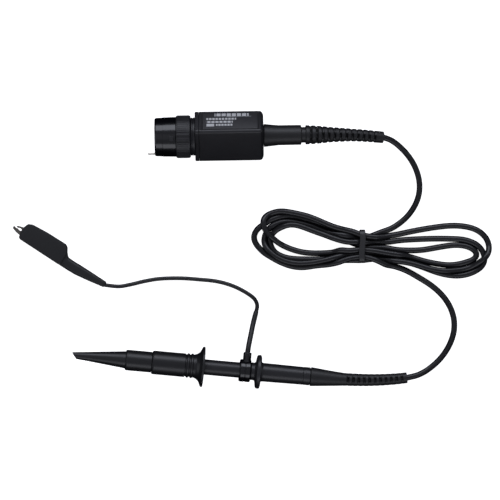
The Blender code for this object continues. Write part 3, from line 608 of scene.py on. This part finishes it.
spun("readout_contact", rounded([(-4.2, 0), (-4.2, 0.42, 0.2), (-3.7, 0.6, 0.3), (5.5, 0.6, 0.05), (5.5, 0)]),
     readoutAxis, "readout_plunger", ["readout_pin"], "gold_contact", "paleContact", 32)
print("stage: connector")


rolled = within(connector, (0, 0, 0), turnMatrix(x=-44.0))
case = {"start": 26.6, "end": 65.1, "halfY": 9.1, "halfZ": 12.7, "corner": 1.7, "rearRound": 2.3, "wall": 1.6,
        "innerCorner": 0.6, "frontEdge": 0.3}


def caseRing(along, inset, corner, steps=8):
    # rounded rectangle: flat sides joined by quarter circles
    ring = []
    hy, hz = case["halfY"] - inset, case["halfZ"] - inset
    for quarter, (sy, sz) in enumerate(((1, 1), (-1, 1), (-1, -1), (1, -1))):
        for step in range(steps + 1):
            a = math.pi / 2 * (quarter + step / steps)
            y, z = sy * (hy - corner) + corner * math.cos(a), sz * (hz - corner) + corner * math.sin(a)
            ring.append((along, y, z))
    return ring


def caseShell():
    wall, corner = case["wall"], case["corner"]
    inner = [caseRing(along, wall, case["innerCorner"]) for along in (case["end"] - wall, case["start"])]
    edge = case["frontEdge"]
    front = [caseRing(case["start"] + edge * (1 - math.cos(a)), edge * (1 - math.sin(a)), corner)
             for a in (math.pi / 2 * k / 4 for k in range(5))]
    r = case["rearRound"]
    rear = [caseRing(case["end"] - r + r * math.sin(a), r * (1 - math.cos(a)),
                     corner + 0.25 * r * (1 - math.cos(a))) for a in (math.pi / 2 * k / 8 for k in range(9))]
    return inner + front + rear


shell = lofted("case_shell", caseShell(), rolled, "probe", ["box_shell"], "black_plastic", "satinBlack", sharp=30)
label = {"x0": 28.9, "x1": 61.7, "halfY": 6.8, "sunk": 0.06, "thick": 0.24}
trimmerAxis = within(rolled, (38.0, 0, 5.0), turnMatrix(z=90.0))
pocket = slab("cutter", rounded([(28.6, -7.1, 0.8), (62.0, -7.1, 0.8), (62.0, 7.1, 0.8), (28.6, 7.1, 0.8)]),
              case["halfZ"] - 0.5, case["halfZ"] + 1, 0, rolled, None, None, None, None, link=False)
trimmerHole = rodHelper(4.5, 9.5, 1.9, trimmerAxis)
cableHole = rodHelper(case["end"] - 5, case["end"] + 1, 4.4, connector)
carve(shell, [pocket, trimmerHole, cableHole], sharp=30, bevel=0.12)
plate = [caseRing(24.1 + 0.5 * (1 - math.cos(a)), 0.5 * (1 - math.sin(a)), case["corner"])
         for a in (math.pi / 2 * k / 5 for k in range(6))]
plate += [caseRing(26.35, 0, case["corner"]), caseRing(26.55, 0.2, case["corner"])]
lofted("front_plate", plate, rolled, "probe", ["box_front_plate"], "black_plastic", "satinBlack", sharp=30)


def labelMaterial():
    # pale bars and short dashes stand for the print: a bar is 1 inside its two half sizes, with soft edges
    bar, enter, leave = newGroup("printedBar", [
        ("U", "NodeSocketFloat", 0.0), ("V", "NodeSocketFloat", 0.0), ("Centre U", "NodeSocketFloat", 0.0),
        ("Centre V", "NodeSocketFloat", 0.0), ("Half U", "NodeSocketFloat", 1.0),
        ("Half V", "NodeSocketFloat", 1.0), ("Gap Pitch", "NodeSocketFloat", 1.0),
        ("Gap Share", "NodeSocketFloat", 0.0)], [("Mask", "NodeSocketFloat")])

    def math2(kind, a, b=None, c=None):
        made = bar.nodes.new("ShaderNodeMath")
        made.operation = kind
        for i, value in enumerate((a, b, c)):
            if value is None:
                continue
            if isinstance(value, (int, float)):
                made.inputs[i].default_value = value
            else:
                bar.links.new(value, made.inputs[i])
        return made.outputs[0]

    side = enter.outputs

    def band(value, centre, halfSize):
        away = math2("ABSOLUTE", math2("SUBTRACT", value, centre))
        inside = math2("MULTIPLY", math2("SUBTRACT", halfSize, away), 12.0)
        made = math2("ADD", inside, 0.5)
        made.node.use_clamp = True
        return made

    across = band(side["U"], side["Centre U"], side["Half U"])
    tall = band(side["V"], side["Centre V"], side["Half V"])
    cell = math2("FRACT", math2("DIVIDE", side["U"], side["Gap Pitch"]))
    filled = math2("GREATER_THAN", cell, side["Gap Share"])
    bar.links.new(math2("MULTIPLY", math2("MULTIPLY", across, tall), filled), leave.inputs["Mask"])

    made, tree, shader, place = newMaterial("printedLabel")
    uv = node(tree, "ShaderNodeUVMap", {"uv_map": "labelMillimetres"})
    split = node(tree, "ShaderNodeSeparateXYZ", links={0: uv.outputs["UV"]})
    total = None
    for centreU, centreV, halfU, halfV, pitch, share in label["bars"]:
        one = node(tree, "ShaderNodeGroup", {"node_tree": bar},
                   {"Centre U": centreU, "Centre V": centreV, "Half U": halfU, "Half V": halfV,
                    "Gap Pitch": pitch, "Gap Share": share},
                   {"U": split.outputs["X"], "V": split.outputs["Y"]})
        if total is None:
            total = one.outputs["Mask"]
        else:
            total = node(tree, "ShaderNodeMath", {"operation": "MAXIMUM"},
                         links={0: total, 1: one.outputs["Mask"]}).outputs[0]
    # painted light: the label's ground colour is about twice as light as the case's, standing for the light that the
    # upward-facing label face catches
    surface = node(tree, "ShaderNodeGroup", {"node_tree": moulded},
                   {"Colour": (0.032, 0.032, 0.035, 1), "Roughness": 0.36, "Grain Scale": 2600.0,
                    "Grain Height": 0.1, "Smudge": 0.06}, {"Place": place})
    mixed = node(tree, "ShaderNodeMix", {"data_type": "RGBA"})
    mixed.inputs["B"].default_value = (0.62, 0.63, 0.64, 1)
    faded = node(tree, "ShaderNodeMath", {"operation": "MULTIPLY"}, {1: 0.92}, {0: total})
    tree.links.new(faded.outputs[0], mixed.inputs["Factor"])
    tree.links.new(surface.outputs["Colour"], mixed.inputs["A"])
    tree.links.new(mixed.outputs["Result"], shader.inputs["Base Color"])
    tree.links.new(surface.outputs["Roughness"], shader.inputs["Roughness"])
    tree.links.new(surface.outputs["Normal"], shader.inputs["Normal"])
    return made


# bars: centre along, centre across, half length, half height, pitch of the gaps, share of each pitch left blank
label["bars"] = [
    (46.2, 5.2, 10.2, 1.2, 3.05, 0.2), (50.5, 3.8, 7.4, 0.1, 90.0, 0.0),
    (40.0, 1.8, 8.9, 0.8, 1.9, 0.26), (39.0, -0.75, 7.9, 0.8, 2.4, 0.22), (33.5, -3.4, 2.3, 1.1, 90.0, 0.0),
    (41.7, -3.3, 4.9, 0.8, 1.8, 0.26),
]


def labelFilm():
    x0, x1, y, top = label["x0"], label["x1"], label["halfY"], case["halfZ"] - label["sunk"]
    outline = rounded([(x0, -y, 0.6), (x1, -y, 0.6), (x1, y, 0.6), (x0, y, 0.6)])
    film = slab("rating_film", outline, top - label["thick"], top, 0.03, rolled, "probe", ["rating_label"],
                "label_film", None)
    film.data.materials.append(labelMaterial())
    origin, matrix = rolled
    flat = np.zeros(len(film.data.vertices) * 3)
    film.data.vertices.foreach_get("co", flat)
    local = (flat.reshape(-1, 3) / mm - origin) @ matrix
    layer = film.data.uv_layers.new(name="labelMillimetres")
    corner = np.zeros(len(film.data.loops), int)
    film.data.loops.foreach_get("vertex_index", corner)
    layer.data.foreach_set("uv", local[corner, :2].astype(np.float32).ravel())


labelFilm()
screw = spun("trimmer_screw_head", rounded([(4.6, 0), (4.6, 1.5, 0.1), (7.5, 1.5, 0.2), (7.5, 0)]), trimmerAxis,
             "trimmer", ["trimmer_screw"], "gold_contact", "goldContact", 48)
carve(screw, [blockHelper((6.8, -3, -0.3), (8.5, 3, 0.3), trimmerAxis)])
print("stage: compensation box")


def strainRelief(name, route, base, stations, ribs, body, nodes, sides=96):
    # r(s, angle) = smooth outline(s) - soft groove between rings - a deeper window on the top and the underside
    centre = evenly(smoothPath(route, 24), 0.16)
    along = np.concatenate([[0], np.cumsum(np.linalg.norm(np.diff(centre, axis=0), axis=1))])
    s, r = np.array(stations).T
    outline = np.interp(along, s, r)
    turnNumber = (along - ribs["start"]) / ribs["pitch"]
    ribbed = (turnNumber > 0) & (turnNumber < ribs["count"] - 1)
    away = np.abs(turnNumber % 1.0 - (1 + ribs["ring"]) / 2) / ((1 - ribs["ring"]) / 2)
    groove = np.where(ribbed, ease(1.25 - away), 0.0)
    window = np.where(ribbed, ease((1.05 - away) / 0.3), 0.0)
    taper = np.interp(along, [ribs["start"], along[-1]], [1.0, 0.72])
    turn = 2 * math.pi * np.arange(sides) / sides
    facing = np.abs(np.sin(turn + math.radians(ribs["tilt"])))
    # the windows of the first gaps reach further round
    wide = np.where(turnNumber < ribs["wideGaps"], 0.35, ribs["web"])
    opening = ease((facing[None, :] - wide[:, None]) / 0.1)
    depth = ribs["groove"] * groove[:, None] + ribs["window"] * window[:, None] * opening
    grid = sweptGrid(centre, outline[:, None] - taper[:, None] * depth, sides)
    return lofted(name, grid, base, body, nodes, "soft_pvc", "softVinyl", sharp=50)


# stations: (place along the route, radius); ring: share of the pitch that a ring takes; tilt: turn of the windows
boxBoot = {"route": [(-5, 0, 0), (0, 0, 0), (25, 0, -0.3), (45, -0.2, -2.9), (58, -0.75, -6.1),
                     (71.3, -1.95, -10.0)],
           "stations": [(0, 4.0), (4.75, 4.0), (4.77, 6.6), (5.3, 6.85), (13.5, 6.0), (26.9, 5.95),
                        (27.15, 5.85), (27.4, 4.7), (29.7, 4.7), (29.95, 5.7), (30.2, 5.8), (36.0, 5.5),
                        (46.0, 4.55), (58.0, 3.85), (77.0, 3.5)],
           "ribs": {"start": 30.0, "pitch": 3.54, "count": 13, "ring": 0.56, "groove": 0.5, "window": 2.6,
                    "web": 0.84, "wideGaps": 2, "tilt": 16}}
strainRelief("box_strain_relief", boxBoot["route"], within(connector, (65.4, 0, 0)), boxBoot["stations"],
             boxBoot["ribs"], "probe", ["box_boot"])
headBoot = {"route": [(49.75, -74.34, 9.05), (60.75, -75.4, 8.4), (80.25, -77.05, 7.2), (96.85, -77.55, 5.8),
                      (110.05, -77.05, 4.5), (118.45, -76.25, 3.7)],
            "stations": [(0, 3.1), (10.8, 3.1), (10.82, 5.6), (11.1, 5.7), (14.0, 5.45), (20.0, 4.85),
                         (30.6, 3.9), (70.0, 3.25)],
            "ribs": {"start": 30.7, "pitch": 3.27, "count": 12, "ring": 0.5, "groove": 0.12, "window": 2.4,
                     "web": 0.86, "wideGaps": 0, "tilt": 0}}
strainRelief("head_strain_relief", headBoot["route"], worldFrame, headBoot["stations"], headBoot["ribs"], "probe",
             ["head_boot"])
print("stage: strain reliefs")


head = axisFrame((-80.75, -62.42, 16.6), turnMatrix(y=3.31, z=-5.22))
nose = {"start": -1.4, "end": 30.66, "tipRadius": 1.95, "rootRadius": 5.2, "teeth": 0.14, "toothPitch": 1.25,
        "sides": 96}


def noseCone():
    # a cone with fine teeth along one edge: r = cone - depth * sawtooth(x) * edge mask(angle)
    sides = nose["sides"]
    turn = 2 * math.pi * np.arange(sides) / sides
    edge = ease((-np.cos(turn) - 0.55) / 0.3)
    outer = np.arange(nose["start"] + 0.4, nose["end"] - 0.3, 0.25)
    saw = ((outer - 3.0) / nose["toothPitch"]) % 1.0
    saw = np.where((outer > 5.0) & (outer < nose["end"] - 1.0), np.minimum(saw / 0.6, (1 - saw) / 0.4), 0)
    radius = nose["tipRadius"] + (nose["rootRadius"] - nose["tipRadius"]) * outer / nose["end"]
    end, root = nose["end"], nose["rootRadius"]
    rings = [(nose["start"], 1.1, 0), (nose["start"], 1.6, 0), *zip(outer, radius, saw)]
    rings += [(end - 0.08, root - 0.05, 0), (end, root - 0.2, 0), (end, 3.7, 0), (14.0, 2.3, 0), (4.0, 1.3, 0)]
    grid = []
    for x, r, tooth in rings:
        reach = r - nose["teeth"] * tooth * edge
        grid.append(np.stack([np.full(sides, x), reach * np.cos(turn), reach * np.sin(turn)], 1))
    return np.array(grid).reshape(-1, 3), gridFaces(len(grid), sides, True)


cone = meshPiece("nose_tip", *noseCone(), head, "tip_sleeve", ["nose_cone"], "hook_plastic", "hookBlack", 40)
slant = within(head, (-0.4, 0, 0), turnMatrix(z=38.0))
carve(cone, [blockHelper((-5, -6, -6), (0, 6, 6), slant)], sharp=40)
spun("tip_collar", rounded([
    (30.7, 4.8, 0.1), (30.7, 5.85, 0.3), (31.5, 6.2, 0.4), (46.2, 6.2, 0.3), (46.6, 5.85, 0.2), (46.6, 4.8, 0.1),
]), head, "tip_sleeve", ["mid_collar"], "hook_plastic", "hookBlack", 96)
spun("tip_sleeve_shell", rounded([
    (46.65, 4.8, 0.1), (46.65, 6.7, 0.25), (47.6, 7.1, 0.4), (66.3, 7.1, 0.25), (66.7, 6.6, 0.2), (67.25, 6.6, 0.15),
    (67.6, 7.3, 0.2), (68.6, 7.3, 0.2), (69.0, 6.7, 0.2), (69.6, 6.7, 0.15), (70.0, 7.4, 0.2), (70.9, 7.4, 0.2),
    (71.3, 6.8, 0.3), (73.2, 7.4, 3.0), (75.0, 8.8, 3.0), (76.1, 11.2, 1.0), (76.5, 12.1, 0.25), (77.7, 12.1, 0.3),
    (77.7, 11.2, 0.2), (76.6, 8.6, 2.0), (75.4, 6.4, 1.0), (74.6, 5.0, 0.1), (64.0, 5.0, 0.1), (64.0, 3.9, 0.1),
    (52.6, 3.9, 0.1), (52.6, 4.8, 0.1),
]), head, "tip_sleeve", ["hook_sleeve"], "hook_plastic", "hookBlack", 112)
spun("barrel_shaft", rounded([
    (73.3, 2.75, 0.1), (73.3, 4.65, 0.3), (105.95, 4.65, 0.1), (105.95, 4.2, 0.1), (124.0, 4.2, 0.1),
    (124.0, 2.75, 0.1),
]), head, "probe", ["probe_shaft"], "black_plastic", "satinBlack", 80)
spun("finger_handle", rounded([
    (106.2, 4.5, 0.1), (106.2, 5.3, 0.15), (108.2, 5.3, 0.6), (108.7, 6.0, 0.6), (109.3, 9.5, 0.4), (109.8, 10.0, 0.3),
    (110.4, 10.15, 0.2), (111.3, 10.15, 0.35), (111.8, 9.8, 0.3), (112.0, 9.0, 0.4), (112.1, 6.0, 0.5),
    (113.2, 5.6, 0.5), (120.0, 5.55, 2.0), (137.5, 5.35, 0.12), (137.5, 4.5, 0.1),
]), head, "probe", ["handle_shell"], "black_plastic", "satinBlack", 112)
spun("marker_band", rounded([
    (137.6, 3.5, 0.1), (137.6, 5.3, 0.12), (138.2, 5.4, 0.3), (141.1, 5.4, 0.3), (141.7, 5.35, 0.1),
    (141.7, 3.5, 0.1),
]), head, "probe", ["head_marker_ring"], "black_plastic", "satinBlack", 96)
print("stage: probe head")


swivel = spun("ground_swivel", rounded([
    (99.2, 4.95, 0.1), (99.2, 6.4, 0.35), (99.9, 6.75, 0.35), (102.1, 6.75, 0.1), (102.3, 6.5, 0.1), (102.8, 6.5, 0.1),
    (103.0, 6.75, 0.1), (105.2, 6.75, 0.35), (105.9, 6.4, 0.35), (105.9, 4.95, 0.1),
]), head, "ground_lead", ["ground_ring"], "gloss_plastic", "glossBlack", 96)
boss = spun("cutter", rounded([(5.4, 0), (5.4, 2.45, 0), (10.7, 2.45, 0.3), (11.0, 2.2, 0.2), (11.0, 0)]),
            within(head, (103.2, 0, 0), turnMatrix(z=90.0)), None, None, None, None, 48, link=False)
carve(swivel, [boss], "UNION")
sleeveRoute = [(22.8, -61.1, 10.65), (23.4, -57.05, 9.9), (24.65, -50.85, 7.0), (26.05, -44.05, 3.8),
               (27.95, -36.45, 1.9)]
sleevePath = evenly(smoothPath(sleeveRoute, 20), 0.4)
share = np.linspace(0, 1, len(sleevePath))
radii = np.repeat((1.55 - 0.12 * ease((share - 0.93) / 0.07))[:, None], 40, axis=1)
lofted("lead_boot", sweptGrid(sleevePath, radii, 40), worldFrame, "ground_lead", ["lead_sleeve"], "soft_pvc",
       "softVinyl")


clipFrame = axisFrame((-117.95, 14.95, 4.5), turnMatrix(z=-33.4))
clip = {"half": 4.5, "cheek": 0.8, "edge": 0.55, "sides": 56}


def clipBoot():
    # a squarish tube along X: y = middle + h sign(c)|c|^0.6 and z = w sign(s)|s|^0.6, its size given at each station
    x, low, high, side = np.array(clip["bootStations"]).T
    along = np.unique(np.concatenate([np.linspace(x[0], x[-1], 90), x]))
    low, high, side = (np.interp(along, x, v)[:, None] for v in (low, high, side))
    turn = 2 * math.pi * np.arange(clip["sides"]) / clip["sides"]
    c, s = np.cos(turn), np.sin(turn)
    y = (low + high) / 2 + (high - low) / 2 * np.sign(c) * np.abs(c)**0.6
    z = side * np.sign(s) * np.abs(s)**0.6
    return np.stack([np.repeat(along[:, None], clip["sides"], axis=1), y, z], -1)


# stations: place along the clip, lower edge, upper edge, half thickness
clip["bootStations"] = [
    (9.2, -4.1, -3.1, 2.8), (9.6, -4.3, -2.95, 3.3), (35.8, -4.3, -2.95, 3.35), (35.85, -4.3, 3.6, 3.2),
    (36.05, -4.3, 4.3, 3.3), (36.35, -4.3, 4.3, 3.4), (37.4, -4.3, 3.1, 3.4), (38.3, -4.3, 2.5, 3.4),
    (42.0, -4.25, 2.45, 3.35), (47.0, -4.0, 2.66, 3.3), (55.5, -2.7, 2.75, 3.0), (64.6, -1.05, 2.75, 2.6),
    (65.1, -0.95, 2.7, 2.5), (65.4, -0.75, 2.45, 2.25),
]
lofted("clip_boot", clipBoot(), clipFrame, "ground_lead", ["clip_tail_boot"], "soft_pvc", "softVinyl", sharp=50)
hood = slab("clip_cover", rounded([
    (6.6, -3.7, 0.9), (5.7, -0.4, 2.5), (5.9, 3.2, 2.5), (6.9, 6.0, 1.2), (9.1, 7.1, 1.5), (19.0, 8.0, 6.0),
    (32.3, 8.3, 1.2), (34.1, 7.3, 0.8), (35.9, 4.5, 1.0), (36.2, 3.0, 2.0), (36.3, -3.5, 0.8), (35.0, -4.3, 0.8),
    (7.9, -4.4, 0.8),
]), -clip["half"], clip["half"], clip["edge"], clipFrame, "clip_lever", ["clip_hood"], "soft_pvc", "softVinyl")
inner = clip["half"] - clip["cheek"]
room = slab("cutter", rounded([
    (7.4, -8.0), (7.4, 5.0, 0.5), (9.6, 6.1, 0.8), (19.0, 7.0, 1.0), (31.0, 7.2, 1.0), (34.0, 6.6, 0.5),
    (42.0, 5.1), (42.0, -8.0),
]), -inner, inner, 0.3, clipFrame, None, None, None, None, link=False)
carve(hood, [room, blockHelper((4.0, -8.0, -2.7), (9.0, 3.9, 2.7), clipFrame, "mouth")], bevel=0.15)
lower = slab("clip_jaw_fixed", rounded([
    (0.5, -1.2, 0.3), (0.2, 0.0, 0.15), (0.7, 0.4, 0.15), (1.5, 0.0, 0.15), (2.9, 0.25, 0.15), (3.6, 0.0, 0.3),
    (4.5, -0.15, 0.8), (5.3, 0.0, 0.3), (5.9, 0.25, 0.3), (7.2, 0.1, 0.3), (10.0, -0.9, 0.5), (16.2, -1.2, 0.3),
    (16.2, 2.0, 0.5), (21.8, 2.0, 0.5), (21.8, -1.4, 0.3), (38.0, -1.4, 0.15), (38.0, -2.6, 0.15), (8.0, -2.6, 0.3),
    (3.5, -2.1, 1.0),
]), -2.3, 2.3, 0.1, clipFrame, "ground_lead", ["clip_lower_jaw"], "nickel", "dullNickel")
carve(lower, [blockHelper((-1, -1.9, -1.5), (33.0, 5.0, 1.5), clipFrame)])
upper = slab("clip_jaw_lever", rounded([
    (2.2, 0.75, 0.15), (1.8, 1.35, 0.2), (2.4, 1.75, 0.2), (4.9, 2.55, 1.0), (8.2, 3.0, 1.0), (12.0, 2.3, 1.0),
    (16.0, 2.4, 1.0), (22.0, 3.4, 1.0), (30.5, 6.2, 0.3), (31.0, 5.2, 0.3), (22.5, 0.9, 1.0), (20.6, -0.8, 0.6),
    (17.4, -0.8, 0.6), (12.0, 0.9, 0.6), (8.0, 0.6, 0.3), (6.0, 0.7, 0.2), (5.2, 1.1, 0.4), (4.5, 1.3, 0.8),
    (3.8, 1.1, 0.4), (3.1, 0.7, 0.15),
]), -1.2, 1.2, 0.1, clipFrame, "clip_lever", ["clip_upper_jaw"], "nickel", "dullNickel")
carve(upper, [blockHelper((17.1, -2.4, -0.75), (20.9, 2.3, 0.75), clipFrame)])
print("stage: ground lead and clip")


tie = {"at": 91.65, "centre": (2.75, 4.85), "half": (9.7, 4.35), "width": 3.4, "thick": 1.0, "lean": 0.315,
       "points": 128, "sides": 20}


def tieBand():
    # a flat band along a squared oval: y = a sign(c)|c|^0.5, z = b sign(s)|s|^0.62, leaning a little along the cable
    count, sides = tie["points"], tie["sides"]
    turn = 2 * math.pi * np.arange(count) / count
    c, s = np.cos(turn), np.sin(turn)
    y = tie["centre"][0] + tie["half"][0] * np.sign(c) * np.abs(c)**0.5
    z = tie["centre"][1] + tie["half"][1] * np.sign(s) * np.abs(s)**0.62
    x = tie["at"] + tie["lean"] * np.sin((y - tie["centre"][0]) / 3.2)
    centre = np.stack([x, y, z], 1)
    ahead = np.roll(centre, -1, axis=0) - np.roll(centre, 1, axis=0)
    ahead /= np.linalg.norm(ahead, axis=1)[:, None]
    outside = np.cross(ahead, (1, 0, 0))
    outside /= np.linalg.norm(outside, axis=1)[:, None]
    angle = 2 * math.pi * np.arange(sides) / sides
    u = tie["width"] / 2 * np.sign(np.cos(angle)) * np.abs(np.cos(angle))**0.6
    v = tie["thick"] / 2 * np.sign(np.sin(angle)) * np.abs(np.sin(angle))**0.6
    v = v + 0.12 * np.cos(angle * 2) * (np.abs(np.sin(angle)) > 0.6)
    grid = centre[:, None, :] + u[None, :, None] * np.array((1.0, 0, 0)) + v[None, :, None] * outside[:, None, :]
    return grid.reshape(-1, 3), gridFaces(count, sides, True)


cableTie = meshPiece("cable_tie", *tieBand(), worldFrame, "probe", ["hank_tie"], "tie_pvc", "tieVinyl", 50)


def coil(name, start, end, radius, wireRadius, turnsCount, base, body, nodes):
    # a compression spring: a helix with its two end turns closed up
    count, sides = int(turnsCount * 28), 10
    t = np.linspace(0, 1, count)
    eased = ease(t) * 0.12 + t * 0.88
    angle = 2 * math.pi * turnsCount * t
    path = np.stack([start + (end - start) * eased, radius * np.cos(angle), radius * np.sin(angle)], 1)
    ahead = np.gradient(path, axis=0)
    ahead /= np.linalg.norm(ahead, axis=1)[:, None]
    inward = np.stack([np.zeros(count), np.cos(angle), np.sin(angle)], 1)
    side = np.cross(ahead, inward)
    turn = 2 * math.pi * np.arange(sides) / sides
    grid = path[:, None, :] + wireRadius * (inward[:, None, :] * np.cos(turn)[None, :, None]
                                            + side[:, None, :] * np.sin(turn)[None, :, None])
    return lofted(name, grid, base, body, nodes, "spring_steel", "springSteel")


def squeezed(piece):
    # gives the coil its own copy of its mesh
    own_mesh(piece)


tipSpring = coil("tip_return_spring", 31.3, 46.6, 3.9, 0.4, 9, head, "tip_carrier", ["hook_spring"])
squeezed(tipSpring)
pinSpring = coil("readout_return_spring", 5.95, 11.45, 0.5, 0.14, 8, readoutAxis, "probe", ["readout_spring"])
squeezed(pinSpring)

# the CAD pieces that nothing replaces stay in the scene, each with the finish of its slot
leftShowing = {"black_plastic": "satinBlack", "gloss_plastic": "glossBlack", "hook_plastic": "hookBlack",
               "soft_pvc": "softVinyl", "cable_pvc": "cableVinyl", "tie_pvc": "tieVinyl", "nickel": "brightNickel",
               "gold_contact": "goldContact", "spring_steel": "springSteel", "insulator_white": "whiteInsulator",
               "circuit_board": "greenBoard", "ceramic": "tanCeramic", "rubber_seal": "darkRubber",
               "label_film": "satinBlack"}
for name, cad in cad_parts.items():
    if cad.hide_render:
        continue
    # the CAD names each material after its slot
    slotName = cad.data.materials[0].name.split(".")[0]
    cad.data.materials.clear()
    cad.data.materials.append(finishes[leftShowing[slotName]])
